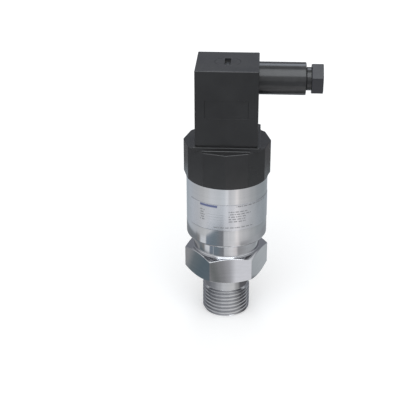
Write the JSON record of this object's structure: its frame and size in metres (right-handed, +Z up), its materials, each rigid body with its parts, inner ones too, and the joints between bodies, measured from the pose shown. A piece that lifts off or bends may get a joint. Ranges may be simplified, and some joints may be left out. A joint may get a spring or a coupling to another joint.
{
  "type": "pressure transmitter",
  "caption": "Upright steel pressure transmitter with a hexagon and threaded process end, a twelve-sided black cap and an angled plug with a cable gland.",
  "frame": {"origin": "centre of the process thread's end face, at the mouth of the pressure port", "axes": "+Z up along the body from the thread to the plug, +X towards the cable entry, +Y to the back"},
  "size_m": [0.0578, 0.0372, 0.1168],
  "materials": {
    "stainless_steel": "turned and polished",
    "black_plastic": "moulded, satin",
    "black_rubber": "soft, matt",
    "white_ceramic": "fired, unglazed",
    "brass": "turned",
    "tinned_contact": "tin plated, dull",
    "plated_steel": "zinc plated",
    "board_green": "solder mask",
    "chip_black": "moulded",
    "capacitor_body": "fired",
    "flex_film": "film",
    "label_foil": "thin silver foil"
  },
  "bodies": {
    "transmitter": {"process_connection": "stainless_steel", "sensor_o_ring": "black_rubber", "sensor_cell": "white_ceramic", "sensor_clamp_ring": "stainless_steel", "sensor_flex": "flex_film", "housing_sleeve": "stainless_steel", "name_label": "label_foil", "housing_cap": "black_plastic", "cap_o_ring": "black_rubber", "connector_base": "black_plastic", "base_thread_bush": "brass", "base_lock_nut": "black_plastic", "connection_board": "board_green", "amplifier_board": "board_green", "measuring_chip": "chip_black", "output_driver": "chip_black", "capacitors": "capacitor_body", "suppressor_diodes": "chip_black", "contact_blade_1": "tinned_contact", "contact_blade_2": "tinned_contact", "contact_blade_3": "tinned_contact", "ground_blade": "tinned_contact"},
    "plug": {"plug_housing": "black_plastic", "profile_gasket": "black_rubber", "terminal_insert": "black_plastic", "terminal_1": "tinned_contact", "terminal_2": "tinned_contact", "terminal_3": "tinned_contact", "terminal_4": "tinned_contact", "terminal_screws": "plated_steel", "screw_seal": "black_rubber", "gland_seal": "black_rubber"},
    "fixing_screw": {"centre_screw": "plated_steel", "screw_knob": "black_plastic", "screw_retainer": "plated_steel"},
    "gland_ring": {"gland_push_ring": "black_plastic"},
    "gland_nut": {"gland_nut": "black_plastic"}
  },
  "joints": [
    {"name": "plug_lift", "type": "slide", "parent": "transmitter", "child": "plug", "axis": [0, 0, 1], "range_m": [0, 0.025]},
    {"name": "fixing_screw_turn", "type": "hinge", "parent": "plug", "child": "fixing_screw", "pos_m": [0, 0, 0.1138], "axis": [0, 0, 1], "continuous": true},
    {"name": "gland_ring_slide", "type": "slide", "parent": "plug", "child": "gland_ring", "axis": [1, 0, 0], "range_m": [-0.00121, 0.00201]},
    {"name": "gland_nut_turn", "type": "hinge", "parent": "gland_ring", "child": "gland_nut", "pos_m": [0.0345, 0, 0.11], "axis": [1, 0, 0], "range_deg": [-432, 720]}
  ],
  "couplings": [
    {"joint": "gland_ring_slide", "follows": "gland_nut_turn", "m_per_rad": 0.00015915}
  ]
}
